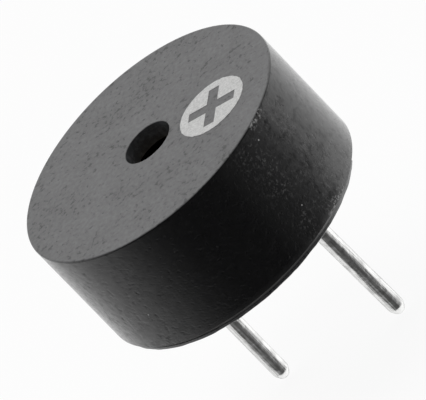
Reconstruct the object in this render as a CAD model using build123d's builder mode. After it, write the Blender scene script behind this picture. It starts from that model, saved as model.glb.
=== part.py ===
"""A round piezo buzzer with its own drive circuit, for mounting on a circuit board. Sizes are in millimetres.

The origin is the centre of the plane that stands on the board. +Z points out of the sound port and +X from
the centre to the positive pin.
"""

import os
from math import cos, radians, sin

from build123d import *

# Case: a moulded cup, open below, with a ledge inside that carries the sounding disc
body_height = 7.25
case_diameter = 16.0
case_draft = 0.02
case_wall = 0.9
case_roof = 1.05
case_edge_radius = 0.1
case_rim_chamfer = 0.13
chamber_depth = 1.1
ledge_width = 1.3
sound_port_diameter = 2.85

# Base plate: a plug in the case's mouth, on a foot ring that stands on the board and is cut by two vents
foot_inset = 0.4
foot_height = 0.2
foot_width = 1.8
foot_edge_chamfer = 0.06
vent_width = 5.0
vent_angle = 22
vent_count = 2
plug_height = 0.9
plug_clearance = 0.04

# Pins: a round tinned leg, a wider shank that fills its hole in the base plate, and a tail through the circuit board
pin_pitch = 7.5
pin_diameter = 0.95
pin_length = 9.05
pin_tip_radius = 0.4
shank_diameter = 1.4
tail_diameter = 0.5
tail_stub = 0.5
pin_clearance = 0.05
pin_solder_diameter = 1.9
pin_solder_height = 0.38

# Circuit board and the parts on it
board_thickness = 0.6
board_clearance = 0.2
transistor_length = 2.9
transistor_width = 1.3
transistor_height = 0.95
transistor_standoff = 0.1
transistor_bevel = 0.12
transistor_place_share = 0.42
lead_pitch = 1.9
lead_width = 0.4
lead_thickness = 0.12
lead_height = 0.5
lead_shoulder = 0.25
lead_foot = 0.3
resistor_length = 1.6
resistor_width = 0.8
resistor_height = 0.45
resistor_cap_length = 0.3
resistor_cap_step = 0.03
resistor_row_share = -0.38
resistor_place_shares = {"bias_resistor": -0.32, "load_resistor": 0.0, "feedback_resistor": 0.32}

# Sounding disc: brass with a ceramic disc under it, and silver film on the ceramic
seal_bead = 0.25
diaphragm_clearance = 0.25
diaphragm_thickness = 0.15
ceramic_margin = 2.1
ceramic_thickness = 0.15
electrode_margin = 0.2
electrode_thickness = 0.03
tongue_width = 1.8
tongue_gap = 0.25
tongue_tip_share = 0.45

# Wires between the circuit board and the sounding disc, with a solder dot at each end, drawn with eight sides
wire_sides = 8
wire_diameter = 0.18
wire_rise = 0.4
solder_diameter = 1.0
solder_land_diameter = 0.4
solder_height = 0.25
wire_angles = {"ground": 38, "main": 215, "feedback": 322}
wire_start_shares = {"ground": 0.66, "main": 0.76, "feedback": 0.78}
wire_end_shares = {"main": 0.5, "feedback": 0.75}

# Levels above the board, and radii about the axis
cut_overrun = 1.0
base_top = foot_height + plug_height
board_top = base_top + board_thickness
roof_under = body_height - case_roof
ledge_level = roof_under - chamber_depth
diaphragm_under = ledge_level - diaphragm_thickness
ceramic_under = diaphragm_under - ceramic_thickness
electrode_under = ceramic_under - electrode_thickness
case_radius = case_diameter / 2
foot_radius = case_radius - foot_inset
bore_radius = case_radius - case_wall
plug_radius = bore_radius - plug_clearance
chamber_radius = bore_radius - ledge_width
diaphragm_radius = bore_radius - diaphragm_clearance
seal_foot_radius = diaphragm_radius - seal_bead
ceramic_radius = diaphragm_radius - ceramic_margin
electrode_radius = ceramic_radius - electrode_margin
tongue_tip_radius = electrode_radius * tongue_tip_share
board_radius = bore_radius - board_clearance
pin_radius = pin_diameter / 2
shank_radius = shank_diameter / 2
tail_radius = tail_diameter / 2
pin_places = {"positive_pin": pin_pitch / 2, "negative_pin": -pin_pitch / 2}


def upright_plane(x, y, level, angle=0):
    """A plane that stands on a point, its X pointing out at an angle about the axis and its Y pointing up."""
    outward = (cos(radians(angle)), sin(radians(angle)), 0)
    return Plane((x, y, level), x_dir=outward, z_dir=(outward[1], -outward[0], 0))


def tongue_plane(level):
    """A level plane whose X runs along the feedback electrode."""
    angle = radians(wire_angles["feedback"])
    return Plane((0, 0, level), x_dir=(cos(angle), sin(angle), 0))


os.makedirs("parts", exist_ok=True)

# Case
with BuildPart() as case:
    with BuildSketch(Plane.XZ):
        with BuildLine():
            Polyline(
                (bore_radius, foot_height),
                (case_radius, foot_height),
                (case_radius - case_draft, body_height),
                (0, body_height),
                (0, roof_under),
                (chamber_radius, roof_under),
                (chamber_radius, ledge_level),
                (bore_radius, ledge_level),
                close=True,
            )
        make_face()
    revolve(axis=Axis.Z)
    rim_edges = case.edges().filter_by(GeomType.CIRCLE).group_by(Axis.Z)[0].sort_by(SortBy.RADIUS)
    chamfer(rim_edges[-1], case_rim_chamfer)
    fillet(case.edges().filter_by(GeomType.CIRCLE).group_by(Axis.Z)[-1], case_edge_radius)
    with Locations((0, 0, body_height)):
        Hole(sound_port_diameter / 2, depth=case_roof + cut_overrun)
case.part.label = "case"
export_step(case.part, "parts/case.step")

# Base plate
with BuildPart() as base_plate:
    with BuildSketch(Plane.XZ):
        with BuildLine():
            Polyline(
                (0, foot_height),
                (foot_radius - foot_width, foot_height),
                (foot_radius - foot_width, 0),
                (foot_radius, 0),
                (foot_radius, foot_height),
                (plug_radius, foot_height),
                (plug_radius, base_top),
                (0, base_top),
                close=True,
            )
        make_face()
    revolve(axis=Axis.Z)
    chamfer(base_plate.edges().filter_by(GeomType.CIRCLE).sort_by(SortBy.RADIUS)[-2:], foot_edge_chamfer)
    with BuildSketch(Plane.XY.offset(foot_height)):
        with PolarLocations(foot_radius, vent_count, start_angle=vent_angle):
            Rectangle(2 * foot_width + cut_overrun, vent_width)
    extrude(amount=-foot_height - cut_overrun, mode=Mode.SUBTRACT)
    with Locations(*[(x, 0, base_top) for x in pin_places.values()]):
        Hole(shank_radius + pin_clearance)
base_plate.part.label = "base_plate"
export_step(base_plate.part, "parts/base_plate.step")

# Pins, each with the solder fillet that joins it to the circuit board
for pin_name, pin_x in pin_places.items():
    with BuildPart() as pin:
        with BuildSketch(Plane((pin_x, 0, -pin_length))):
            Circle(pin_radius)
        extrude(amount=pin_length + foot_height)
        fillet(pin.edges().group_by(Axis.Z)[0], pin_tip_radius)
        with BuildSketch(Plane((pin_x, 0, foot_height))):
            Circle(shank_radius)
        extrude(amount=base_top - foot_height)
        with BuildSketch(Plane((pin_x, 0, base_top))):
            Circle(tail_radius)
        extrude(amount=board_top + tail_stub - base_top)
    pin.part.label = pin_name
    export_step(pin.part, f"parts/{pin_name}.step")

    with BuildPart() as pin_solder:
        with BuildSketch(upright_plane(pin_x, 0, board_top)):
            with BuildLine():
                solder_seat = Line((tail_radius, 0), (pin_solder_diameter / 2, 0))
                solder_wall = Line((tail_radius, 0), (tail_radius, pin_solder_height))
                Line(solder_seat @ 1, solder_wall @ 1)
            make_face()
        revolve(axis=Axis((pin_x, 0, board_top), (0, 0, 1)))
    pin_solder.part.label = f"{pin_name}_solder"
    export_step(pin_solder.part, f"parts/{pin_name}_solder.step")

# Circuit board
with BuildPart() as circuit_board:
    with BuildSketch(Plane.XY.offset(base_top)):
        Circle(board_radius)
        with Locations(*[(x, 0) for x in pin_places.values()]):
            Circle(tail_radius + pin_clearance, mode=Mode.SUBTRACT)
    extrude(amount=board_thickness)
circuit_board.part.label = "circuit_board"
export_step(circuit_board.part, "parts/circuit_board.step")

# Transistor: a moulded body on three bent leads
transistor_y = board_radius * transistor_place_share
with BuildPart() as transistor_body:
    with BuildSketch(Plane.XY.offset(board_top + transistor_standoff)):
        with Locations((0, transistor_y)):
            Rectangle(transistor_length, transistor_width)
    extrude(amount=transistor_height)
    chamfer(transistor_body.faces().sort_by(Axis.Z)[-1].edges(), transistor_bevel)
transistor_body.part.label = "transistor_body"
export_step(transistor_body.part, "parts/transistor_body.step")

lead_places = {
    "transistor_base_lead": (-lead_pitch / 2, -1),
    "transistor_emitter_lead": (lead_pitch / 2, -1),
    "transistor_collector_lead": (0, 1),
}
for lead_name, (lead_x, side) in lead_places.items():
    knee = transistor_width / 2 + lead_shoulder
    with BuildPart() as lead:
        with BuildSketch(upright_plane(lead_x, transistor_y, board_top, 90 * side)):
            with BuildLine():
                Polyline(
                    (transistor_width / 2, lead_height),
                    (knee, lead_height),
                    (knee, lead_thickness),
                    (knee + lead_foot, lead_thickness),
                    (knee + lead_foot, 0),
                    (knee - lead_thickness, 0),
                    (knee - lead_thickness, lead_height - lead_thickness),
                    (transistor_width / 2, lead_height - lead_thickness),
                    close=True,
                )
            make_face()
        extrude(amount=lead_width / 2, both=True)
    lead.part.label = lead_name
    export_step(lead.part, f"parts/{lead_name}.step")

# Chip resistors: a ceramic body between two plated ends
for resistor_name, place_share in resistor_place_shares.items():
    resistor_centre = (board_radius * place_share, board_radius * resistor_row_share)
    cap_spacing = resistor_length - resistor_cap_length
    with BuildPart() as resistor:
        with BuildSketch(Plane.XY.offset(board_top)):
            with Locations(resistor_centre):
                with GridLocations(0, cap_spacing, 1, 2):
                    Rectangle(resistor_width, resistor_cap_length)
        extrude(amount=resistor_height)
        with BuildSketch(Plane.XY.offset(board_top + resistor_cap_step)):
            with Locations(resistor_centre):
                Rectangle(resistor_width - 2 * resistor_cap_step, cap_spacing)
        extrude(amount=resistor_height - 2 * resistor_cap_step)
    resistor.part.label = resistor_name
    export_step(resistor.part, f"parts/{resistor_name}.step")

# Diaphragm and the silicone bead that holds its edge against the ledge
with BuildPart() as diaphragm:
    with BuildSketch(Plane.XY.offset(diaphragm_under)):
        Circle(diaphragm_radius)
    extrude(amount=diaphragm_thickness)
diaphragm.part.label = "diaphragm"
export_step(diaphragm.part, "parts/diaphragm.step")

with BuildPart() as diaphragm_seal:
    with BuildSketch(Plane.XZ):
        with BuildLine():
            Polyline(
                (diaphragm_radius, ledge_level),
                (bore_radius, ledge_level),
                (bore_radius, diaphragm_under - seal_bead),
                (seal_foot_radius, diaphragm_under),
                (diaphragm_radius, diaphragm_under),
                close=True,
            )
        make_face()
    revolve(axis=Axis.Z)
diaphragm_seal.part.label = "diaphragm_seal"
export_step(diaphragm_seal.part, "parts/diaphragm_seal.step")

# Ceramic disc and the two silver films on it
with BuildPart() as piezo_ceramic:
    with BuildSketch(Plane.XY.offset(ceramic_under)):
        Circle(ceramic_radius)
    extrude(amount=ceramic_thickness)
piezo_ceramic.part.label = "piezo_ceramic"
export_step(piezo_ceramic.part, "parts/piezo_ceramic.step")

with BuildPart() as main_electrode:
    with BuildSketch(tongue_plane(electrode_under)):
        Circle(electrode_radius)
        with Locations((tongue_tip_radius - tongue_gap, 0)):
            SlotOverall(
                2 * ceramic_radius,
                tongue_width + 2 * tongue_gap,
                align=(Align.MIN, Align.CENTER),
                mode=Mode.SUBTRACT,
            )
    extrude(amount=electrode_thickness)
main_electrode.part.label = "main_electrode"
export_step(main_electrode.part, "parts/main_electrode.step")

with BuildPart() as feedback_electrode:
    with BuildSketch(tongue_plane(electrode_under)):
        Circle(electrode_radius)
        with Locations((tongue_tip_radius, 0)):
            SlotOverall(
                2 * ceramic_radius,
                tongue_width,
                align=(Align.MIN, Align.CENTER),
                mode=Mode.INTERSECT,
            )
    extrude(amount=electrode_thickness)
feedback_electrode.part.label = "feedback_electrode"
export_step(feedback_electrode.part, "parts/feedback_electrode.step")

# Wires from the circuit board to the sounding disc, with their solder dots
wire_ends = {
    "ground": ((ceramic_radius + seal_foot_radius) / 2, diaphragm_under),
    "main": (electrode_radius * wire_end_shares["main"], electrode_under),
    "feedback": (electrode_radius * wire_end_shares["feedback"], electrode_under),
}
for wire_name, (end_radius, end_level) in wire_ends.items():
    start_radius = board_radius * wire_start_shares[wire_name]
    angle = wire_angles[wire_name]
    dots = {
        f"{wire_name}_board_solder": (start_radius, board_top, solder_height),
        f"{wire_name}_disc_solder": (end_radius, end_level, -solder_height),
    }
    for dot_name, (dot_radius, seat, rise) in dots.items():
        dot_x = dot_radius * cos(radians(angle))
        dot_y = dot_radius * sin(radians(angle))
        with BuildPart() as dot:
            with BuildSketch(Plane((dot_x, dot_y, seat))):
                RegularPolygon(solder_diameter / 2, wire_sides)
            with BuildSketch(Plane((dot_x, dot_y, seat + rise))):
                RegularPolygon(solder_land_diameter / 2, wire_sides)
            loft()
        dot.part.label = dot_name
        export_step(dot.part, f"parts/{dot_name}.step")

    wire_start = board_top + solder_height
    wire_end = end_level - solder_height
    with BuildPart() as wire:
        with BuildLine(upright_plane(0, 0, 0, angle)) as wire_path:
            Polyline(
                (start_radius, wire_start),
                (start_radius, wire_start + wire_rise),
                (end_radius, wire_end - wire_rise),
                (end_radius, wire_end),
            )
        with BuildSketch(Plane(wire_path.line @ 0, z_dir=wire_path.line % 0)):
            RegularPolygon(wire_diameter / 2, wire_sides)
        sweep(path=wire_path.line, transition=Transition.RIGHT)
    wire.part.label = f"{wire_name}_wire"
    export_step(wire.part, f"parts/{wire_name}_wire.step")
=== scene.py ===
"""Piezo buzzer: the looks of a round through-hole buzzer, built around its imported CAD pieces.

The file is laid out as a Blender add-on. Run as a script, it models the pieces that show, gives every inner
piece its finish, and sets the floor, the light and the camera.
"""

import math
from functools import partial

import bmesh
import bpy
from mathutils import Matrix, Vector


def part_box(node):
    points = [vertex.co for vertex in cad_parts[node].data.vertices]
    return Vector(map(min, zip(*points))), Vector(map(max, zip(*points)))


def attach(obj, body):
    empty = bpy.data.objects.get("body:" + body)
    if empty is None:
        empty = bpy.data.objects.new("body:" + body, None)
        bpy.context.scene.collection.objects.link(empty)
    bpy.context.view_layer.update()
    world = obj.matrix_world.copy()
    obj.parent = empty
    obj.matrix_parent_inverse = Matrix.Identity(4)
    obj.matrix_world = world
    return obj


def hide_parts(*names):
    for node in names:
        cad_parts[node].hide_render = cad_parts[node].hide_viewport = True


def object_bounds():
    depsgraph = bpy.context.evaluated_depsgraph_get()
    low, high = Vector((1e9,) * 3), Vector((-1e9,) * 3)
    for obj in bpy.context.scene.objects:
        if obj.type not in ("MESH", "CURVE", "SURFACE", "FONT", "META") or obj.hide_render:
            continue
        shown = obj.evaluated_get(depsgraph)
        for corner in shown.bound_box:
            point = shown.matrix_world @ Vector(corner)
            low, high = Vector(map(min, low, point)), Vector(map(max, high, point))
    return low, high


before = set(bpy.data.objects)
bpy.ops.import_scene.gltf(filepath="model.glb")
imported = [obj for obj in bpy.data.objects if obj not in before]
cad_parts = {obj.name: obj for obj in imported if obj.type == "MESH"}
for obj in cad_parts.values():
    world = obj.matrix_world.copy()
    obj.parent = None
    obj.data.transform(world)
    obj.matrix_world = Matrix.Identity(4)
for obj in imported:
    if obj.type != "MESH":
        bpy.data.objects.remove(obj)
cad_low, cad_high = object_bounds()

bl_info = {
    "name": "Piezo buzzer",
    "version": (1, 0, 0),
    "blender": (4, 5, 0),
    "location": "View3D > Sidebar > Buzzer",
    "description": "Models and finishes a round piezo buzzer with two pins",
    "category": "Object",
}

MM = 0.001
BODY = "root"

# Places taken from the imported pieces
case_low, case_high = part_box("case")
base_low, base_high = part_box("base_plate")
seal_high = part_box("diaphragm_seal")[1]
pin_low, pin_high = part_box("positive_pin")
PIN_NAMES = ("positive_pin", "negative_pin")
SHANK_RADIUS = (pin_high.x - pin_low.x) / 2
FOOT_TOP = case_low.z

# How finely round pieces are turned
CASE_STEPS = 192
PIN_STEPS = 48
LEG_RINGS = 90
MARK_STEPS = 96
FLOOR_STEPS = 64

# Steps in a rounded edge, and the turn in degrees past which an edge stays sharp
TOP_EDGE_STEPS = 8
PORT_EDGE_STEPS = 3
TIP_STEPS = 8
SHOULDER_STEPS = 4
PLASTIC_SHARP = 32
PIN_SHARP = 40

# How near two points must be to become one, and how near a point must be to a ring or a leg to be on it
WELD = 0.001 * MM
RING_SLACK = 0.004 * MM
LEG_SLACK = 3 * RING_SLACK

# Flat left beside a rounded edge so that its shading stays on it, how far a cut runs past its face, and the
# gap between the pin tips and the floor
EDGE_SUPPORT = 0.03 * MM
CUT_OVERRUN = 0.001 * MM
FLOOR_GAP = 0.05 * MM

# Length of the waves in the foot's flash and in the tin, and the seed of the print's ragged edge
FLASH_WAVE = 0.8 * MM
TIN_WAVE = 0.9 * MM
INK_SEED = 3

# The camera's sensor in millimetres and the nearest that it sees, and the cosines, from the line to the
# camera, between which the room behind the buzzer brightens towards its sides
SENSOR_WIDTH = 36
NEAR_CLIP = 1 * MM
BEHIND = -1.0
BESIDE = -0.8
WHITE = (1, 1, 1, 1)

# Sockets of a Mix node, for colours and for numbers
MIX_A, MIX_B, MIX_OUT = 6, 7, 2
NUMBER_A, NUMBER_B = 2, 3

# Kinds of property
Length = partial(bpy.props.FloatProperty, unit="LENGTH", precision=5)
Angle = partial(bpy.props.FloatProperty, unit="ROTATION")
Share = partial(bpy.props.FloatProperty, subtype="FACTOR", min=0, max=1)
Colour = partial(bpy.props.FloatVectorProperty, subtype="COLOR", size=4, min=0, max=1)


def linear(hex_colour):
    """Turns an sRGB hex colour into the linear RGBA that shaders take."""
    shares = [int(hex_colour[i : i + 2], 16) / 255 for i in (1, 3, 5)]
    curve = [s / 12.92 if s <= 0.04045 else ((s + 0.055) / 1.055) ** 2.4 for s in shares]
    return (*curve, 1.0)


class BuzzerShape(bpy.types.PropertyGroup):
    """Sizes of the pieces that are modelled here."""

    case_draft: Length(
        name="Case draft",
        description="How much narrower the case is at its top than at its rim, on the radius",
        default=0.02 * MM,
    )
    edge_radius: Length(
        name="Edge radius", description="Rounding of the case's top edge", default=0.1 * MM
    )
    rim_chamfer: Length(
        name="Rim chamfer", description="Chamfer on the case's lower rim", default=0.25 * MM
    )
    port_radius: Length(
        name="Port radius", description="Radius of the sound port", default=1.425 * MM
    )
    port_edge: Length(
        name="Port edge", description="Rounding of the sound port's edge", default=0.04 * MM
    )
    roof: Length(
        name="Roof", description="Thickness of the case's roof", default=1.05 * MM
    )
    ledge_width: Length(
        name="Ledge width",
        description="Width of the inner ledge that carries the diaphragm",
        default=1.3 * MM,
    )
    plug_clearance: Length(
        name="Plug clearance",
        description="Gap between the base plate's plug and the bore of the case",
        default=0.04 * MM,
    )
    foot_width: Length(
        name="Foot width", description="Width of the foot ring under the base plate", default=1.8 * MM
    )
    foot_chamfer: Length(
        name="Foot chamfer", description="Chamfer on the foot ring's outer edges", default=0.03 * MM
    )
    foot_flash: Length(
        name="Foot flash",
        description="How far the flash of the mould spreads the foot ring's outer edge",
        default=0.14 * MM,
    )
    flash_waver: Length(
        name="Flash waver",
        description="Height of the waves in the flash round the foot ring",
        default=0.06 * MM,
    )
    flash_shift: bpy.props.FloatVectorProperty(
        name="Flash shift",
        description="How far the flash sits off the axis, from mould halves that did not meet exactly",
        default=(-0.045 * MM, -0.03 * MM, 0.0),
        size=3,
        subtype="TRANSLATION",
        precision=5,
    )
    vent_width: Length(
        name="Vent width", description="Width of the two gaps in the foot ring", default=5.0 * MM
    )
    vent_angle: Angle(
        name="Vent angle",
        description="Turn of the two gaps from the line through the pins",
        default=math.radians(22),
    )
    leg_radius: Length(
        name="Leg radius", description="Radius of a pin's leg", default=0.475 * MM
    )
    tip_radius: Length(
        name="Tip radius", description="Radius to which a pin's tip tapers", default=0.25 * MM
    )
    tip_length: Length(
        name="Tip length", description="Length of the tapered tip of a pin", default=0.48 * MM
    )
    tip_round: Length(
        name="Tip rounding", description="Rounding of the end of a pin", default=0.2 * MM
    )
    tip_shoulder: Length(
        name="Tip shoulder", description="Rounding where a pin's tip starts to taper", default=0.06 * MM
    )
    tail_radius: Length(
        name="Tail radius", description="Radius of a pin's tail in the circuit board", default=0.25 * MM
    )
    pin_hole_gap: Length(
        name="Pin hole gap", description="Gap round a pin's shank in the base plate", default=0.05 * MM
    )
    pin_lean: Angle(
        name="Pin lean",
        description="How far the positive pin's leg leans outward",
        default=math.radians(1.6),
    )
    pin_offset: Length(
        name="Pin offset",
        description="How far the positive pin's leg stands inward from the middle of its hole",
        default=0.13 * MM,
    )
    tin_ripple: Length(
        name="Tin ripple", description="Height of the waves in the tin on the legs", default=0.012 * MM
    )
    mark_radius: Length(
        name="Mark radius", description="Radius of the printed polarity disc", default=2.03 * MM
    )
    mark_reach: Length(
        name="Mark reach",
        description="Distance of the printed disc from the sound port's centre",
        default=4.22 * MM,
    )
    mark_angle: Angle(
        name="Mark angle",
        description="Turn of the printed disc from the line through the pins",
        default=math.radians(-1.6),
    )
    arm_length: Length(
        name="Arm length",
        description="Length of the two bars left bare in the printed disc",
        default=2.97 * MM,
    )
    arm_width: Length(
        name="Arm width",
        description="Width of the two bars left bare in the printed disc",
        default=0.672 * MM,
    )
    ink_height: Length(
        name="Ink height", description="Thickness of the printed ink", default=0.012 * MM, precision=6
    )
    ink_waver: Length(
        name="Ink waver",
        description="How far the edge of the print strays from its outline",
        default=0.035 * MM,
    )


class BuzzerColours(bpy.types.PropertyGroup):
    """Colours of the pieces that show."""

    wall: Colour(
        name="Wall", description="Black of the case's polished wall", default=linear("#161617")
    )
    # Written lighter than the black plastic: partly the matt finish, partly painted sheen
    top: Colour(
        name="Top", description="Dark grey of the case's matt top face", default=linear("#505051")
    )
    base: Colour(
        name="Base", description="Black of the base plate", default=linear("#404041")
    )
    tin: Colour(
        name="Tin", description="Bright grey of the tinned pins", default=linear("#E0E0DF")
    )
    ink: Colour(
        name="Ink", description="White of the printed polarity disc", default=linear("#C8C8C7")
    )


class BuzzerStage(bpy.types.PropertyGroup):
    """The floor, the light and the camera."""

    camera_azimuth: Angle(
        name="Camera azimuth",
        description="Where the camera stands, turned from +X",
        default=math.radians(-60.717),
    )
    camera_elevation: Angle(
        name="Camera elevation",
        description="How far the camera stands above the horizon",
        default=math.radians(26.887),
    )
    camera_roll: Angle(
        name="Camera roll",
        description="Turn of the camera about its own line of sight",
        default=math.radians(-44.0855),
    )
    camera_distance: Length(
        name="Camera distance",
        description="Distance of the camera from the point that it aims at",
        default=462.04 * MM,
    )
    camera_lens: bpy.props.FloatProperty(
        name="Camera lens", description="Focal length on a sensor 36 mm wide", default=760.56, unit="CAMERA"
    )
    camera_aim: bpy.props.FloatVectorProperty(
        name="Camera aim",
        description="The point that the camera aims at",
        default=(0.4924 * MM, -0.1418 * MM, 2.4311 * MM),
        subtype="TRANSLATION",
    )
    room_front: bpy.props.FloatProperty(
        name="Room front", description="Brightness of the white room round the camera", default=0.05, min=0
    )
    room_back: bpy.props.FloatProperty(
        name="Room back", description="Brightness of the white room behind the buzzer", default=1.38, min=0
    )
    tent_far: bpy.props.FloatProperty(
        name="Tent far",
        description="Cosine, from the line to the camera, at which the white room is at its brightest",
        default=-0.38,
        min=-1,
        max=1,
    )
    tent_near: bpy.props.FloatProperty(
        name="Tent near",
        description="Cosine, from the line to the camera, at which the white room has become dark",
        default=0.56,
        min=-1,
        max=1,
    )
    room_side: Share(
        name="Room side",
        description="How much brighter the white room is on the camera's right than ahead, as a share",
        default=0.17,
    )
    backdrop_share: Share(
        name="Backdrop share",
        description="Brightness of the white room straight behind the buzzer, as a share of its sides",
        default=0.8,
    )
    lamp_power: bpy.props.FloatProperty(
        name="Lamp power", description="Power of the soft lamp overhead", default=0.3, unit="POWER"
    )
    lamp_size: Length(
        name="Lamp size", description="Side of the soft lamp overhead", default=200 * MM
    )
    lamp_height: Length(
        name="Lamp height", description="Height of the soft lamp above the floor", default=300 * MM
    )
    floor_radius: Length(
        name="Floor radius", description="Radius of the pale floor", default=1500 * MM
    )
    floor_shade: Share(
        name="Floor shade", description="How much of the floor's own shading the camera sees", default=0.08
    )


def pick(piece, element, test):
    """Selects, in edit mode, the vertices or edges whose points all pass a test, and nothing else."""
    bpy.ops.mesh.select_mode(type=element)
    bpy.ops.mesh.select_all(action="DESELECT")
    mesh = bmesh.from_edit_mesh(piece.data)
    for part in mesh.verts if element == "VERT" else mesh.edges:
        points = [part.co] if element == "VERT" else [v.co for v in part.verts]
        if all(test(p) for p in points):
            part.select_set(True)
    bmesh.update_edit_mesh(piece.data)


def on_ring(radius, level, point):
    """Is a point on the circle of this radius about Z, at this level?"""
    return abs(point.xy.length - radius) < RING_SLACK and abs(point.z - level) < RING_SLACK


def beyond(radius, point):
    """Is a point further than this from the Z axis?"""
    return point.xy.length > radius


def on_leg(root, radius, point):
    """Is a point on the leg that goes down from this root, and not on the shank above it?"""
    at_root = point.z < root.z + RING_SLACK and (point - root).length < radius
    return at_root or point.z < root.z - RING_SLACK


def pin_axis(name, level):
    """Gives the point on a pin's axis at this level."""
    low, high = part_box(name)
    return Vector(((low.x + high.x) / 2, (low.y + high.y) / 2, level))


def turn_outline(name, outline, steps):
    """Turns an outline of (radius, level) points once about Z, as on a lathe, into a closed piece."""
    bpy.ops.object.select_all(action="DESELECT")
    bpy.ops.mesh.primitive_plane_add(size=MM, location=(0, 0, 0))
    piece = bpy.context.object
    piece.name = name
    bpy.ops.object.mode_set(mode="EDIT")
    bpy.ops.mesh.select_mode(type="VERT")
    bpy.ops.mesh.select_all(action="SELECT")
    bpy.ops.mesh.merge(type="CENTER")
    bpy.ops.transform.translate(value=(outline[0][0], 0, outline[0][1]))
    for (radius, level), (next_radius, next_level) in zip(outline, outline[1:]):
        step = (next_radius - radius, 0, next_level - level)
        bpy.ops.mesh.extrude_region_move(TRANSFORM_OT_translate={"value": step})
    bpy.ops.mesh.select_all(action="SELECT")
    bpy.ops.mesh.spin(steps=steps, angle=math.tau, center=(0, 0, 0), axis=(0, 0, 1))
    bpy.ops.mesh.select_all(action="SELECT")
    bpy.ops.mesh.remove_doubles(threshold=WELD)
    bpy.ops.mesh.normals_make_consistent(inside=False)
    bpy.ops.object.mode_set(mode="OBJECT")
    return piece


def round_ring(piece, radius, level, size, segments):
    """Rounds the edge that runs round a turned piece at this radius and level."""
    bpy.ops.object.mode_set(mode="EDIT")
    pick(piece, "EDGE", partial(on_ring, radius, level))
    bpy.ops.mesh.bevel(offset=size, segments=segments, affect="EDGES", profile=0.5)
    bpy.ops.object.mode_set(mode="OBJECT")


def cut_away(piece, tool):
    """Takes one closed piece away from another and removes the tool."""
    cut = piece.modifiers.new("Cut", "BOOLEAN")
    cut.operation = "DIFFERENCE"
    cut.solver = "EXACT"
    cut.object = tool
    bpy.context.view_layer.objects.active = piece
    bpy.ops.object.modifier_apply(modifier=cut.name)
    bpy.data.objects.remove(tool)


def cut_box(piece, size, centre=(0, 0, 0), turn=0):
    """Takes a box of this size away from a piece, after turning it about Z."""
    bpy.ops.object.select_all(action="DESELECT")
    bpy.ops.mesh.primitive_cube_add(size=1, location=centre, rotation=(0, 0, turn))
    box = bpy.context.object
    box.scale = size
    bpy.ops.object.transform_apply(location=True, rotation=True, scale=True)
    cut_away(piece, box)


def select_only(piece):
    """Selects one piece alone and makes it the active one."""
    bpy.ops.object.select_all(action="DESELECT")
    piece.select_set(True)
    bpy.context.view_layer.objects.active = piece


def smooth(piece, degrees):
    """Shades a piece smooth, but keeps the edges that turn by more than this sharp."""
    select_only(piece)
    bpy.ops.object.shade_smooth_by_angle(angle=math.radians(degrees))


def ripple(piece, group, size, height):
    """Moves the points of a vertex group out and in, in waves of this size and height."""
    texture = bpy.data.textures.new(group.name, "CLOUDS")
    texture.noise_scale = size
    texture.noise_depth = 2
    waves = piece.modifiers.new("Waves", "DISPLACE")
    waves.texture = texture
    waves.texture_coords = "LOCAL"
    waves.strength = height
    waves.mid_level = 0.5
    waves.vertex_group = group.name
    bpy.context.view_layer.objects.active = piece
    bpy.ops.object.modifier_apply(modifier=waves.name)


def seat(piece, material, slot, *nodes):
    """Gives a finished piece its material and its place in the part."""
    piece.data.materials.clear()
    piece.data.materials.append(material)
    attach(piece, BODY)
    if nodes:
        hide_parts(*nodes)


def add_node(tree, kind, settings, inputs, output=0):
    """Adds a node, sets its options, links or fills its inputs, and gives one of its outputs, if any."""
    made = tree.nodes.new(kind)
    for option, value in settings.items():
        setattr(made, option, value)
    for key, value in inputs.items():
        if isinstance(value, bpy.types.NodeSocket):
            tree.links.new(value, made.inputs[key])
        else:
            made.inputs[key].default_value = value
    return made.outputs[output] if made.outputs else None


def start_material(name):
    """Makes an empty node material and gives it with the function that adds its nodes."""
    material = bpy.data.materials.new(name)
    material.use_nodes = True
    material.node_tree.nodes.clear()
    return material, partial(add_node, material.node_tree)


def round_axes(put):
    """Gives a point's place in the part, its level, and its distance from the axis and angle round it."""
    place = put("ShaderNodeTexCoord", {}, {}, "Object")
    axes = put("ShaderNodeSeparateXYZ", {}, {"Vector": place}).node.outputs
    flat = put("ShaderNodeVectorMath", {"operation": "MULTIPLY"}, {0: place, 1: (1, 1, 0)})
    reach = put("ShaderNodeVectorMath", {"operation": "LENGTH"}, {0: flat}, "Value")
    azimuth = put("ShaderNodeMath", {"operation": "ARCTAN2"}, {0: axes["Y"], 1: axes["X"]})
    return place, axes["Z"], reach, azimuth


def angle_mask(put, azimuth, middle, full, end, peak=1.0):
    """Makes a mask round the axis, in degrees: at its peak near the middle angle and gone past its end."""
    turn = put("ShaderNodeMath", {"operation": "SUBTRACT"}, {0: azimuth, 1: math.radians(middle)})
    away = put("ShaderNodeMath", {"operation": "ABSOLUTE"}, {0: turn})
    return put(
        "ShaderNodeMapRange",
        {"interpolation_type": "SMOOTHSTEP"},
        {"Value": away, "From Min": math.radians(end), "From Max": math.radians(full), "To Max": peak},
    )


# Noise in the case's faces: size of its waves, detail and roughness. Pits and specks are about half as wide
CASE_NOISE = {
    # Uneven tone of the top, which also gathers the pits in loose groups
    "cloud": (2 * MM, 3.0, 0.5),
    # Pits of the eroded mould
    "pit": (0.33 * MM, 3.0, 0.65),
    # Grain of the eroded mould, really about 0.1 mm and drawn coarser so that it shows
    "grain": (0.25 * MM, 3.0, 0.65),
    # Patches in which the marks of use crowd
    "cluster": (1.6 * MM, 2.0, 0.5),
    # Specks rubbed pale on the wall
    "speck": (0.19 * MM, 3.0, 0.65),
    # Cloudiness of the polished wall
    "mottle": (0.4 * MM, 3.0, 0.7),
}

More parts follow.
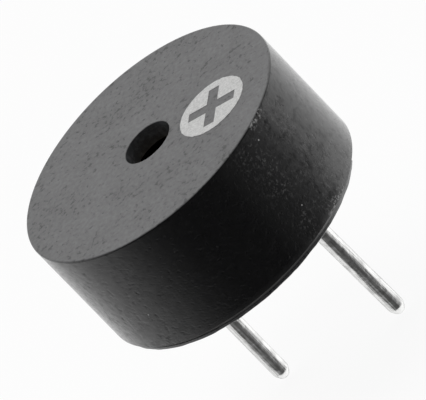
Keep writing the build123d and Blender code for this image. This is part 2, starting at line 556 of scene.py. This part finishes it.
# What that noise becomes: its name, two of its values, and the tone, share, roughness or gloss for each
CASE_TONES = {
    "cloud_tone": ("cloud", 0.3, 0.7, 0.86, 1.14),
    "grain_tone": ("grain", 0.3, 0.7, 0.6, 1.4),
    "top_rough": ("grain", 0.3, 0.7, 0.42, 0.5),
    # Grain in the painted light on the port's wall
    "port_light_grain": ("grain", 0.45, 0.8, 0.8, 1.8),
    "fine_pits": ("grain", 0.46, 0.32, 0.0, 1.0),
    "crowd": ("cluster", 0.4, 0.62, 0.18, 1.0),
    "chips": ("speck", 0.51, 0.58, 0.0, 1.0),
    "gloss": ("mottle", 0.3, 0.7, 0.265, 0.39),
    "dark_spots": ("mottle", 0.47, 0.4, 0.0, 1.0),
}

# How far from its border a finish of the mould is full
FINISH_BLEND = 0.02 * MM

# Bright specks of dust that lie apart on the wall: angle in degrees, level and radius
LONE_SPECKS = (
    (-110, 2.75 * MM, 0.045 * MM),
    (-29.6, 6.35 * MM, 0.06 * MM),
    (-35.4, 2.19 * MM, 0.05 * MM),
)


def case_plastic(colours, shape):
    """ABS, injection moulded: a spark-eroded mould face on top, a polished one round the wall.

    The eye sees a matt top, grey partly from painted sheen, with small dark pits, and a glossy black wall
    with shallow pits, faint lines along the axis and a patch of pale scuffs and dust on the side that has
    been handled.
    """
    material, put = start_material("Moulded ABS case")
    place, level, reach, azimuth = round_axes(put)
    side = partial(angle_mask, put, azimuth)
    noise = {}
    for name, (size, detail, roughness) in CASE_NOISE.items():
        noise[name] = put(
            "ShaderNodeTexNoise",
            {},
            {"Vector": place, "Scale": 1 / size, "Detail": detail, "Roughness": roughness},
        )
    tone = {}
    for name, (source, low, high, at_low, at_high) in CASE_TONES.items():
        tone[name] = put(
            "ShaderNodeMapRange",
            {},
            {"Value": noise[source], "From Min": low, "From Max": high, "To Min": at_low, "To Max": at_high},
        )

    # The matt finish of the top ends within the rounded edge, and the chamfer of the rim is matt, where the
    # mould parts. The port's wall is painted grey from just outside its edge, as painted light in the dark
    # hole
    chamfer_top = case_low.z + shape.rim_chamfer
    land, rim = (
        put(
            "ShaderNodeMapRange",
            {"interpolation_type": "SMOOTHSTEP"},
            {"Value": level, "From Min": start, "From Max": full},
        )
        for start, full in (
            (case_high.z - 0.6 * shape.edge_radius, case_high.z - FINISH_BLEND),
            (chamfer_top + FINISH_BLEND, chamfer_top - FINISH_BLEND),
        )
    )
    port_start, port_full = shape.port_radius + 0.08 * MM, shape.port_radius + 0.03 * MM
    in_port = put("ShaderNodeMapRange", {}, {"Value": reach, "From Min": port_start, "From Max": port_full})

    # The top is cloudy and grainy, with dark pits. Its grey is partly its matt finish and partly painted
    # sheen
    grouped = put(
        "ShaderNodeMath", {"operation": "MULTIPLY_ADD"}, {0: noise["cloud"], 1: 0.32, 2: noise["pit"]}
    )
    pits = put("ShaderNodeMapRange", {}, {"Value": grouped, "From Min": 0.6, "From Max": 0.5})
    uneven = put("ShaderNodeMath", {"operation": "MULTIPLY"}, {0: tone["cloud_tone"], 1: tone["grain_tone"]})
    top = put("ShaderNodeVectorMath", {"operation": "SCALE"}, {0: colours.top[:3], "Scale": uneven})
    pitted_top = put(
        "ShaderNodeMix", {"data_type": "RGBA"}, {0: pits, MIX_A: top, MIX_B: linear("#101010")}, MIX_OUT
    )

    # Marks of use on the wall, each kind kept to its own side: pale specks and lines along the axis
    drawn = put("ShaderNodeMapping", {}, {"Vector": place, "Scale": (1.0, 1.0, 0.2)})
    lines = put(
        "ShaderNodeTexNoise",
        {},
        {"Vector": drawn, "Scale": 1 / (0.26 * MM), "Detail": 3.0, "Roughness": 0.65},
    )
    specks, streaks = (
        put(
            "ShaderNodeMapRange",
            {},
            {"Value": source, "From Min": low, "From Max": high, "To Max": tone["crowd"]},
        )
        for source, low, high in ((noise["speck"], 0.51, 0.67), (lines, 0.48, 0.8))
    )
    scuffs = put(
        "ShaderNodeMath",
        {"operation": "MAXIMUM"},
        {0: side(-26, 9, 21, specks), 1: side(-20, 3, 12, streaks)},
    )

    # Bands along the edges, as the level where each starts, the one where it is full, and its peak: bright
    # nicks at the top and the rim, dust low on the wall and at the rim, and a faint painted highlight right
    # round the rim
    top_chips, rim_chips, low_dust, rim_dust, rim_highlight_line = (
        put("ShaderNodeMapRange", {}, {"Value": level, "From Min": start, "From Max": full, "To Max": peak})
        for start, full, peak in (
            (case_high.z - 0.45 * MM, case_high.z - 0.1 * MM, tone["chips"]),
            (case_low.z + 0.75 * MM, case_low.z + 0.3 * MM, tone["chips"]),
            (case_low.z + 2.4 * MM, case_low.z + 0.7 * MM, 0.65),
            (case_low.z + 0.65 * MM, case_low.z + 0.3 * MM, 0.55),
            (case_low.z + 0.6 * MM, case_low.z + 0.3 * MM, 0.1),
        )
    )
    nicks = put(
        "ShaderNodeMath",
        {"operation": "MAXIMUM"},
        {0: side(-24, 3, 7, top_chips), 1: side(-23, 4, 9, rim_chips)},
    )
    # Scuffs and dust, together with the painted highlight along the rim
    scuffs_dust_and_highlight = scuffs
    for layer in (side(-39, 5, 16, 0.07), side(-11, 3, 14, low_dust), side(-8, 20, 30, rim_dust), rim_highlight_line):
        scuffs_dust_and_highlight = put("ShaderNodeMath", {"operation": "ADD", "use_clamp": True}, {0: scuffs_dust_and_highlight, 1: layer})
    # The rim's chamfer is grey, and lighter on one side as painted light
    rim_grey_and_painted_light = put(
        "ShaderNodeMix",
        {"data_type": "RGBA"},
        {0: side(-16, 14, 30), MIX_A: linear("#323232"), MIX_B: linear("#747474")},
        MIX_OUT,
    )
    # The port's wall painted grey: painted light in the dark hole
    painted_port_light = put(
        "ShaderNodeVectorMath",
        {"operation": "SCALE"},
        {0: linear("#545659")[:3], "Scale": tone["port_light_grain"]},
    )

    # Dust specks about 0.1 mm across, at most one to a cell of 0.9 mm
    cells = put("ShaderNodeTexVoronoi", {}, {"Vector": place, "Scale": 1 / (0.9 * MM)}, "Distance")
    dust = put("ShaderNodeMapRange", {}, {"Value": cells, "From Min": 0.07, "From Max": 0.03})

    # Colours laid over the bare wall in turn, each with the share that it covers
    layers = [
        # Scuffs, dust and the rim's painted highlight, in pale grey
        (scuffs_dust_and_highlight, linear("#5C5C5C")),
        (nicks, linear("#B4B4B4")),
        # The rim's grey, with its painted light on one side
        (rim, rim_grey_and_painted_light),
        (dust, linear("#3A3A3A")),
    ]
    for angle, rise, size in LONE_SPECKS:
        turn = math.radians(angle)
        spot = (case_high.x * math.cos(turn), case_high.x * math.sin(turn), rise)
        apart = put("ShaderNodeVectorMath", {"operation": "DISTANCE"}, {0: place, 1: spot}, "Value")
        lone = put("ShaderNodeMapRange", {}, {"Value": apart, "From Min": size, "From Max": 0.5 * size})
        layers.append((lone, linear("#C8C8C8")))
    # The port's painted light, then the top with its partly painted sheen
    layers += [(in_port, painted_port_light), (land, pitted_top)]
    colour = colours.wall
    for share, paint in layers:
        colour = put(
            "ShaderNodeMix", {"data_type": "RGBA"}, {0: share, MIX_A: colour, MIX_B: paint}, MIX_OUT
        )

    worn = put("ShaderNodeMath", {"operation": "MAXIMUM"}, {0: scuffs, 1: rim})
    wall_rough = put("ShaderNodeMapRange", {}, {"Value": worn, "To Min": 0.17, "To Max": 0.5})
    rough = put("ShaderNodeMix", {}, {0: land, NUMBER_A: wall_rough, NUMBER_B: tone["top_rough"]})

    # The polished wall mirrors less than clean ABS does, because handling has dulled it. Spots, pits and
    # scuffs take more from its gloss, each kind on its own side
    near_pits = side(-128, 18, 32, pits)
    gloss = tone["gloss"]
    for marks, loss in (
        (side(-140, 14, 25, tone["dark_spots"]), 0.12),
        (side(-6, 16, 26, tone["dark_spots"]), 0.07),
        (near_pits, 0.11),
        (tone["fine_pits"], 0.08),
        (side(-30, 6, 18), 0.09),
    ):
        gloss = put("ShaderNodeMath", {"operation": "MULTIPLY_ADD"}, {0: marks, 1: -loss, 2: gloss})
    for share, value in ((rim, 0.03), (land, 0.5)):
        gloss = put("ShaderNodeMix", {}, {0: share, NUMBER_A: gloss, NUMBER_B: value})

    # Faint lines stand up from the wall, and grain and pits go down into it
    depth = tone["fine_pits"]
    for marks, share in ((noise["grain"], 1.3), (near_pits, 1.2)):
        depth = put("ShaderNodeMath", {"operation": "MULTIPLY_ADD"}, {0: marks, 1: share, 2: depth})
    dents = put("ShaderNodeMix", {}, {0: land, NUMBER_A: depth, NUMBER_B: pits})
    faint_lines = put("ShaderNodeMath", {"operation": "MULTIPLY"}, {0: lines, 1: 0.5})
    height = put("ShaderNodeMath", {"operation": "SUBTRACT"}, {0: faint_lines, 1: dents})
    bump = put("ShaderNodeBump", {}, {"Height": height, "Distance": 0.012 * MM, "Strength": 0.7})
    shader = put(
        "ShaderNodeBsdfPrincipled",
        {},
        {
            "Base Color": colour,
            "Roughness": rough,
            "Normal": bump,
            "IOR": 1.52,
            "Specular IOR Level": gloss,
        },
    )
    put("ShaderNodeOutputMaterial", {}, {"Surface": shader})
    return material


def base_plastic(colours):
    """ABS, injection moulded, from a plainer mould than the case: a satin black with a fine grain."""
    material, put = start_material("Moulded ABS base")
    place, _, reach, azimuth = round_axes(put)

    # The mould's grain, really finer than 0.1 mm, is drawn at 0.15 mm so that it shows
    grain = put("ShaderNodeTexNoise", {}, {"Vector": place, "Scale": 1 / (0.15 * MM), "Detail": 3.0})
    tone, rough = (
        put(
            "ShaderNodeMapRange",
            {},
            {"Value": grain, "From Min": 0.3, "From Max": 0.7, "To Min": low, "To Max": high},
        )
        for low, high in ((0.6, 1.4), (0.24, 0.36))
    )
    shade = put("ShaderNodeVectorMath", {"operation": "SCALE"}, {0: colours.base[:3], "Scale": tone})

    # The foot ring's edge is painted pale on one side, a painted reflection of the bright room there
    edge = put(
        "ShaderNodeMapRange",
        {},
        {"Value": reach, "From Min": base_high.y - 0.3 * MM, "From Max": base_high.y - 0.1 * MM},
    )
    colour = put(
        "ShaderNodeMix",
        {"data_type": "RGBA"},
        {0: angle_mask(put, azimuth, -6, 12, 32, edge), MIX_A: shade, MIX_B: linear("#909090")},
        MIX_OUT,
    )
    bump = put("ShaderNodeBump", {}, {"Height": grain, "Distance": 0.008 * MM, "Strength": 0.5})
    shader = put(
        "ShaderNodeBsdfPrincipled",
        {},
        {"Base Color": colour, "Roughness": rough, "Normal": bump, "IOR": 1.52},
    )
    put("ShaderNodeOutputMaterial", {}, {"Surface": shader})
    return material


def tinned_wire(colours):
    """Copper-clad steel wire, hot tinned: bright soft metal with drawn lines, lumps and dull patches."""
    material, put = start_material("Hot tinned wire")
    place = put("ShaderNodeTexCoord", {}, {}, "Object")

    # Lines that the die left, really finer, are drawn about 0.1 mm wide so that they show. The tin has lumps
    # 0.4 mm apart and dull patches 0.7 mm apart
    drawn = put("ShaderNodeMapping", {}, {"Vector": place, "Scale": (1.0, 1.0, 0.06)})
    lines, lumps, patches = (
        put("ShaderNodeTexNoise", {}, {"Vector": space, "Scale": 1 / size, "Detail": detail})
        for space, size, detail in ((drawn, 0.2 * MM, 2.0), (place, 0.4 * MM, 2.0), (place, 0.7 * MM, 3.0))
    )
    dull = put("ShaderNodeMapRange", {}, {"Value": patches, "From Min": 0.5, "From Max": 0.68})
    colour = put(
        "ShaderNodeMix",
        {"data_type": "RGBA"},
        {0: dull, MIX_A: colours.tin, MIX_B: linear("#CCCCCB")},
        MIX_OUT,
    )
    rough = put("ShaderNodeMapRange", {}, {"Value": dull, "To Min": 0.29, "To Max": 0.42})
    height = put("ShaderNodeMath", {"operation": "MULTIPLY_ADD"}, {0: lumps, 1: 0.5, 2: lines})
    bump = put("ShaderNodeBump", {}, {"Height": height, "Distance": 0.07 * MM, "Strength": 0.8})
    shader = put(
        "ShaderNodeBsdfPrincipled",
        {},
        {
            "Base Color": colour,
            "Metallic": 1.0,
            "Roughness": rough,
            "Specular Tint": linear("#C8C8C8"),
            "Normal": bump,
        },
    )
    put("ShaderNodeOutputMaterial", {}, {"Surface": shader})
    return material


def print_ink(colours):
    """Two-part epoxy ink, pad printed: an off-white that the pits of the plastic below make grainy."""
    material, put = start_material("Pad printed ink")
    place = put("ShaderNodeTexCoord", {}, {}, "Object")

    # Grain of 0.1 mm, as in the mould face under the ink
    grain = put(
        "ShaderNodeTexNoise", {}, {"Vector": place, "Scale": 1 / (0.1 * MM), "Detail": 3.0, "Roughness": 0.6}
    )
    tone = put(
        "ShaderNodeMapRange",
        {},
        {"Value": grain, "From Min": 0.3, "From Max": 0.7, "To Min": 0.78, "To Max": 1.22},
    )
    colour = put("ShaderNodeVectorMath", {"operation": "SCALE"}, {0: colours.ink[:3], "Scale": tone})
    bump = put("ShaderNodeBump", {}, {"Height": grain, "Distance": 0.006 * MM, "Strength": 0.5})
    shader = put("ShaderNodeBsdfPrincipled", {}, {"Base Color": colour, "Roughness": 0.55, "Normal": bump})
    put("ShaderNodeOutputMaterial", {}, {"Surface": shader})
    return material


# Finishes of the sealed-in pieces: name, two tones, size of the pattern, metallic, roughness, and the pieces
INNER_FINISHES = {
    # Tin-lead solder, set from the melt: bright, with dull freezing marks
    "solder": ("Set solder", "#C9C8C4", "#96958F", 0.25 * MM, 1.0, 0.28, ("_solder",)),
    # Half-hard brass sheet, rolled: warm yellow metal with a soft lustre
    "brass_disc": ("Rolled brass", "#C9A25A", "#A98242", 0.4 * MM, 1.0, 0.32, ("diaphragm",)),
    # Lead zirconate titanate, sintered: chalky cream ceramic
    "ceramic": ("Sintered ceramic", "#CFC6AE", "#B4A98D", 0.2 * MM, 0.0, 0.7, ("piezo_ceramic",)),
    # Silver paste, screen printed and fired: pale matt metal
    "silver_film": ("Fired silver", "#D8D6D0", "#B8B5AE", 0.15 * MM, 1.0, 0.48, ("_electrode",)),
    # One-part silicone rubber, cured in place: milky and slightly glossy
    "silicone": ("Cured silicone", "#D5D6D4", "#B9BBB8", 0.5 * MM, 0.0, 0.4, ("diaphragm_seal",)),
    # Glass-epoxy laminate under green solder mask: deep green with the weave faintly showing
    "board_laminate": ("Masked laminate", "#1E5A37", "#16452A", 0.3 * MM, 0.0, 0.35, ("circuit_board",)),
    # Epoxy moulding compound: charcoal with a fine mineral grain
    "transistor_plastic": ("Moulded epoxy", "#232324", "#161617", 0.12 * MM, 0.0, 0.5, ("transistor_body",)),
    # Iron-nickel strip, plated with tin: bright and even
    "tinned_lead": ("Plated strip", "#CFCDC8", "#AFADA8", 0.2 * MM, 1.0, 0.3, ("_lead",)),
    # Alumina chip with a black glass overcoat: dark and smooth
    "chip_ceramic": ("Glazed chip", "#1C1C1E", "#2E2E31", 0.2 * MM, 0.0, 0.25, ("_resistor",)),
    # Copper wire in polyurethane enamel: reddish amber with a gloss
    "lead_wire": ("Enamelled wire", "#A4512A", "#7E3A1C", 0.3 * MM, 0.6, 0.3, ("_wire",)),
}


def inner_finish(name, colour, shade, grain_size, metallic, roughness):
    """A finish of two mottled tones, for a piece that is sealed in the case."""
    material, put = start_material(name)
    place = put("ShaderNodeTexCoord", {}, {}, "Object")
    grain = put("ShaderNodeTexNoise", {}, {"Vector": place, "Scale": 1 / grain_size, "Detail": 3.0})
    share = put("ShaderNodeMapRange", {}, {"Value": grain, "From Min": 0.35, "From Max": 0.65})
    mixed = put(
        "ShaderNodeMix",
        {"data_type": "RGBA"},
        {0: share, MIX_A: linear(colour), MIX_B: linear(shade)},
        MIX_OUT,
    )
    rough = put(
        "ShaderNodeMapRange", {}, {"Value": share, "To Min": 0.85 * roughness, "To Max": 1.15 * roughness}
    )
    bump = put("ShaderNodeBump", {}, {"Height": grain, "Distance": 0.005 * MM, "Strength": 0.4})
    shader = put(
        "ShaderNodeBsdfPrincipled",
        {},
        {"Base Color": mixed, "Metallic": metallic, "Roughness": rough, "Normal": bump},
    )
    put("ShaderNodeOutputMaterial", {}, {"Surface": shader})
    return material


def white_room(stage, back, right):
    """Makes the world: a white light tent, dark round the camera, which the camera sees as plain white."""
    world = bpy.data.worlds.new("White room")
    world.use_nodes = True
    world.node_tree.nodes.clear()
    put = partial(add_node, world.node_tree)
    sight = put("ShaderNodeTexCoord", {}, {}, "Generated")
    facing, rightward = (
        put("ShaderNodeVectorMath", {"operation": "DOT_PRODUCT"}, {0: sight, 1: line}, "Value")
        for line in (back, right)
    )
    strength = put(
        "ShaderNodeMapRange",
        {"interpolation_type": "SMOOTHSTEP"},
        {
            "Value": facing,
            "From Min": stage.tent_far,
            "From Max": stage.tent_near,
            "To Min": stage.room_back,
            "To Max": stage.room_front,
        },
    )
    backdrop = put(
        "ShaderNodeMapRange",
        {},
        {"Value": facing, "From Min": BEHIND, "From Max": BESIDE, "To Min": stage.backdrop_share},
    )
    lean = put("ShaderNodeMath", {"operation": "MULTIPLY_ADD"}, {0: rightward, 1: stage.room_side, 2: 1.0})
    for share in (backdrop, lean):
        strength = put("ShaderNodeMath", {"operation": "MULTIPLY"}, {0: strength, 1: share})
    room, plain = (
        put("ShaderNodeBackground", {}, {"Color": WHITE, "Strength": brightness})
        for brightness in (strength, 1.0)
    )
    seen = put("ShaderNodeLightPath", {}, {}, "Is Camera Ray")
    surface = put("ShaderNodeMixShader", {}, {0: seen, 1: room, 2: plain})
    put("ShaderNodeOutputWorld", {}, {"Surface": surface})
    return world


def floor_card(stage):
    """White card, uncoated: matt, nearly white to the camera with a trace of shadow, clear from below."""
    material, put = start_material("Pale floor")
    seen = put("ShaderNodeLightPath", {}, {}, "Is Camera Ray")
    under = put("ShaderNodeNewGeometry", {}, {}, "Backfacing")
    matt = put("ShaderNodeBsdfDiffuse", {}, {"Color": linear("#F4F4F4")})
    glow = put("ShaderNodeEmission", {}, {"Color": WHITE, "Strength": 1.0})
    share = put("ShaderNodeMath", {"operation": "MULTIPLY"}, {0: seen, 1: 1 - stage.floor_shade})
    above = put("ShaderNodeMixShader", {}, {0: share, 1: matt, 2: glow})
    clear = put("ShaderNodeBsdfTransparent", {}, {})
    surface = put("ShaderNodeMixShader", {}, {0: under, 1: above, 2: clear})
    put("ShaderNodeOutputMaterial", {}, {"Surface": surface})
    return material


class BUZZER_OT_case(bpy.types.Operator):
    """Model the moulded case with its sound port, chamber, ledge and bore"""

    bl_idname = "buzzer.case"
    bl_label = "Case"

    def execute(self, context):
        shape = context.scene.buzzer_shape
        rim_radius = case_high.x
        top_radius = rim_radius - shape.case_draft
        bore_radius = seal_high.x
        chamber_radius = bore_radius - shape.ledge_width
        roof_under = case_high.z - shape.roof
        keep = shape.edge_radius + EDGE_SUPPORT
        draft_share = keep / (case_high.z - case_low.z)
        outline = [
            (shape.port_radius, case_high.z),
            (shape.port_radius + shape.port_edge + EDGE_SUPPORT, case_high.z),
            (top_radius - keep, case_high.z),
            (top_radius, case_high.z),
            (top_radius + shape.case_draft * draft_share, case_high.z - keep),
            (rim_radius, case_low.z + shape.rim_chamfer),
            (rim_radius - shape.rim_chamfer, case_low.z),
            (bore_radius, case_low.z),
            (bore_radius, seal_high.z),
            (chamber_radius, seal_high.z),
            (chamber_radius, roof_under),
            (shape.port_radius, roof_under),
            (shape.port_radius, case_high.z),
        ]
        case = turn_outline("buzzer_case", outline, CASE_STEPS)
        round_ring(case, top_radius, case_high.z, shape.edge_radius, TOP_EDGE_STEPS)
        round_ring(case, shape.port_radius, case_high.z, shape.port_edge, PORT_EDGE_STEPS)
        smooth(case, PLASTIC_SHARP)
        seat(case, case_plastic(context.scene.buzzer_colours, shape), "case_plastic", "case")
        return {"FINISHED"}


class BUZZER_OT_base(bpy.types.Operator):
    """Model the base plate with its foot ring, vents and pin holes"""

    bl_idname = "buzzer.base"
    bl_label = "Base plate"

    def execute(self, context):
        shape = context.scene.buzzer_shape
        foot_radius = base_high.y + shape.foot_flash
        foot_bore = base_high.y - shape.foot_width
        plug_radius = seal_high.x - shape.plug_clearance
        chamfer = shape.foot_chamfer
        outline = [
            (0, base_high.z),
            (plug_radius, base_high.z),
            (plug_radius, FOOT_TOP),
            (foot_radius - chamfer, FOOT_TOP),
            (foot_radius, FOOT_TOP - chamfer),
            (foot_radius, base_low.z + chamfer),
            (foot_radius - chamfer, base_low.z),
            (foot_bore, base_low.z),
            (foot_bore, FOOT_TOP),
            (0, FOOT_TOP),
        ]
        base = turn_outline("buzzer_base", outline, CASE_STEPS)
        reach = base_high.y - shape.foot_width / 2
        vent_size = (2 * shape.foot_width, shape.vent_width, 2 * FOOT_TOP)
        for turn in (shape.vent_angle, shape.vent_angle + math.pi):
            vent_centre = (reach * math.cos(turn), reach * math.sin(turn), CUT_OVERRUN)
            cut_box(base, vent_size, vent_centre, turn)
        drill_depth = 4 * base_high.z
        for name in PIN_NAMES:
            bpy.ops.object.select_all(action="DESELECT")
            bpy.ops.mesh.primitive_cylinder_add(
                vertices=PIN_STEPS,
                radius=SHANK_RADIUS + shape.pin_hole_gap,
                depth=drill_depth,
                location=pin_axis(name, base_high.z),
            )
            drill = bpy.context.object
            bpy.ops.object.transform_apply(location=True, rotation=True, scale=True)
            cut_away(base, drill)
        bpy.ops.object.mode_set(mode="EDIT")
        pick(base, "VERT", partial(beyond, foot_radius - 2 * chamfer))
        bpy.ops.object.vertex_group_assign_new()
        bpy.ops.transform.translate(value=shape.flash_shift)
        bpy.ops.object.mode_set(mode="OBJECT")
        ripple(base, base.vertex_groups.active, FLASH_WAVE, shape.flash_waver)
        smooth(base, PLASTIC_SHARP)
        seat(base, base_plastic(context.scene.buzzer_colours), "base_plastic", "base_plate")
        return {"FINISHED"}


class BUZZER_OT_pins(bpy.types.Operator):
    """Model one tinned pin and copy it to both places"""

    bl_idname = "buzzer.pins"
    bl_label = "Pins"

    def execute(self, context):
        shape = context.scene.buzzer_shape
        outline = [
            (0, pin_low.z),
            (shape.tip_radius, pin_low.z),
            (shape.leg_radius, pin_low.z + shape.tip_length),
            (shape.leg_radius, FOOT_TOP),
            (SHANK_RADIUS, FOOT_TOP),
            (SHANK_RADIUS, base_high.z),
            (shape.tail_radius, base_high.z),
            (shape.tail_radius, pin_high.z),
            (0, pin_high.z),
        ]
        first = turn_outline("buzzer_pin", outline, PIN_STEPS)
        round_ring(first, shape.tip_radius, pin_low.z, shape.tip_round, TIP_STEPS)
        round_ring(first, shape.leg_radius, pin_low.z + shape.tip_length, shape.tip_shoulder, SHOULDER_STEPS)

        # Only the leg's edges are this long. Rings across them let the tin ripple
        long_edge = 3 * shape.tip_length
        bpy.ops.object.mode_set(mode="EDIT")
        mesh = bmesh.from_edit_mesh(first.data)
        bpy.ops.mesh.select_mode(type="EDGE")
        bpy.ops.mesh.select_all(action="DESELECT")
        for edge in mesh.edges:
            ends = sorted(v.co.z for v in edge.verts)
            if ends[1] - ends[0] > long_edge and abs(ends[1] - FOOT_TOP) < RING_SLACK:
                edge.select_set(True)
        bmesh.update_edit_mesh(first.data)
        bpy.ops.mesh.subdivide(number_cuts=LEG_RINGS)
        bpy.ops.object.mode_set(mode="OBJECT")
        leg = first.vertex_groups.new(name="leg")
        leg.add([v.index for v in first.data.vertices if v.co.z < FOOT_TOP - RING_SLACK], 1.0, "REPLACE")

        material = tinned_wire(context.scene.buzzer_colours)
        for name in PIN_NAMES:
            select_only(first)
            bpy.ops.object.duplicate(linked=False)
            pin = context.object
            pin.name = f"tinned_{name}"
            pin.location = pin_axis(name, 0)
            bpy.ops.object.transform_apply(location=True, rotation=True, scale=True)
            ripple(pin, leg, TIN_WAVE, shape.tin_ripple)
            if name == "positive_pin":
                root = pin_axis(name, FOOT_TOP)
                bpy.ops.object.mode_set(mode="EDIT")
                pick(pin, "VERT", partial(on_leg, root, shape.leg_radius + LEG_SLACK))
                bpy.ops.transform.rotate(
                    value=shape.pin_lean, orient_axis="Y", orient_type="GLOBAL", center_override=root
                )
                bpy.ops.transform.translate(value=(-shape.pin_offset, 0, 0))
                bpy.ops.object.mode_set(mode="OBJECT")
            smooth(pin, PIN_SHARP)
            seat(pin, material, "tinned_pin", name)
        bpy.data.objects.remove(first)
        return {"FINISHED"}


class BUZZER_OT_mark(bpy.types.Operator):
    """Print the white polarity disc, with a plus left bare in it, on the top face"""

    bl_idname = "buzzer.mark"
    bl_label = "Polarity mark"

    def execute(self, context):
        shape = context.scene.buzzer_shape
        turned = shape.mark_angle
        centre = Vector((math.cos(turned), math.sin(turned), 0)) * shape.mark_reach
        centre.z = case_high.z
        bpy.ops.object.select_all(action="DESELECT")
        bpy.ops.mesh.primitive_circle_add(
            vertices=MARK_STEPS,
            radius=shape.mark_radius,
            fill_type="NGON",
            location=(0, 0, -shape.ink_height),
        )
        mark = context.object
        mark.name = "polarity_mark"
        bpy.ops.object.transform_apply(location=True, rotation=True, scale=True)
        bpy.ops.object.mode_set(mode="EDIT")
        bpy.ops.mesh.select_all(action="SELECT")
        bpy.ops.transform.vertex_random(offset=shape.ink_waver, seed=INK_SEED)
        bpy.ops.transform.resize(value=(1, 1, 0), center_override=(0, 0, -shape.ink_height))
        bpy.ops.mesh.extrude_region_move(TRANSFORM_OT_translate={"value": (0, 0, 2 * shape.ink_height)})
        bpy.ops.mesh.select_all(action="SELECT")
        bpy.ops.mesh.normals_make_consistent(inside=False)
        bpy.ops.object.mode_set(mode="OBJECT")
        bar_depth = 8 * shape.ink_height
        for size in ((shape.arm_length, shape.arm_width), (shape.arm_width, shape.arm_length)):
            cut_box(mark, (*size, bar_depth))
        select_only(mark)
        mark.rotation_euler = (0, 0, turned)
        mark.location = centre
        bpy.ops.object.transform_apply(location=True, rotation=True, scale=True)
        seat(mark, print_ink(context.scene.buzzer_colours), "mark_ink")
        return {"FINISHED"}


class BUZZER_OT_inside(bpy.types.Operator):
    """Give the sealed-in pieces their finishes"""

    bl_idname = "buzzer.inside"
    bl_label = "Inside"

    def execute(self, context):
        for slot, (name, colour, shade, grain, metallic, rough, endings) in INNER_FINISHES.items():
            material = inner_finish(name, colour, shade, grain, metallic, rough)
            for node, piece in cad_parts.items():
                if node.endswith(endings):
                    piece.data.materials.clear()
                    piece.data.materials.append(material)
        return {"FINISHED"}


class BUZZER_OT_stage(bpy.types.Operator):
    """Set the pale floor, the soft light and the camera"""

    bl_idname = "buzzer.stage"
    bl_label = "Stage"

    def execute(self, context):
        scene = context.scene
        stage = scene.buzzer_stage
        scene.view_settings.view_transform = "Standard"
        rise = stage.camera_elevation
        heading = Vector((math.cos(stage.camera_azimuth), math.sin(stage.camera_azimuth), 0))
        back = heading * math.cos(rise) + Vector((0, 0, math.sin(rise)))
        right = Vector((0, 0, 1)).cross(back).normalized()
        scene.world = white_room(stage, back, right)

        bpy.ops.object.select_all(action="DESELECT")
        bpy.ops.mesh.primitive_circle_add(
            vertices=FLOOR_STEPS,
            radius=stage.floor_radius,
            fill_type="NGON",
            location=(0, 0, cad_low.z - FLOOR_GAP),
        )
        floor = context.object
        floor.name = "floor"
        floor.visible_glossy = False
        floor.data.materials.append(floor_card(stage))

        bpy.ops.object.light_add(type="AREA", location=(0, 0, cad_low.z + stage.lamp_height))
        lamp = context.object
        lamp.name = "overhead_lamp"
        lamp.data.energy = stage.lamp_power
        lamp.data.size = stage.lamp_size

        bpy.ops.object.camera_add()
        camera = context.object
        camera.data.sensor_width = SENSOR_WIDTH
        camera.data.lens = stage.camera_lens
        camera.data.clip_start = NEAR_CLIP
        axes = Matrix((right, back.cross(right), back)).transposed()
        rolled = axes @ Matrix.Rotation(stage.camera_roll, 3, "Z")
        place = Vector(stage.camera_aim) + back * stage.camera_distance
        camera.matrix_world = Matrix.Translation(place) @ rolled.to_4x4()
        scene.camera = camera
        return {"FINISHED"}


class BUZZER_PT_panel(bpy.types.Panel):
    """The buzzer's pieces and its stage"""

    bl_idname = "BUZZER_PT_panel"
    bl_label = "Piezo buzzer"
    bl_space_type = "VIEW_3D"
    bl_region_type = "UI"
    bl_category = "Buzzer"

    def draw(self, context):
        layout = self.layout
        for operator in OPERATORS:
            layout.operator(operator.bl_idname)
        for group in (context.scene.buzzer_shape, context.scene.buzzer_colours, context.scene.buzzer_stage):
            box = layout.box()
            for name in group.__annotations__:
                box.prop(group, name)


GROUPS = {"buzzer_shape": BuzzerShape, "buzzer_colours": BuzzerColours, "buzzer_stage": BuzzerStage}
OPERATORS = (
    BUZZER_OT_case,
    BUZZER_OT_base,
    BUZZER_OT_pins,
    BUZZER_OT_mark,
    BUZZER_OT_inside,
    BUZZER_OT_stage,
)


def register():
    for name, group in GROUPS.items():
        bpy.utils.register_class(group)
        setattr(bpy.types.Scene, name, bpy.props.PointerProperty(type=group))
    for operator in OPERATORS:
        bpy.utils.register_class(operator)
    bpy.utils.register_class(BUZZER_PT_panel)


def unregister():
    bpy.utils.unregister_class(BUZZER_PT_panel)
    for operator in reversed(OPERATORS):
        bpy.utils.unregister_class(operator)
    for name, group in GROUPS.items():
        delattr(bpy.types.Scene, name)
        bpy.utils.unregister_class(group)


def main():
    register()
    bpy.ops.buzzer.case()
    bpy.ops.buzzer.base()
    bpy.ops.buzzer.pins()
    bpy.ops.buzzer.mark()
    bpy.ops.buzzer.inside()
    bpy.ops.buzzer.stage()


if __name__ == "__main__":
    main()
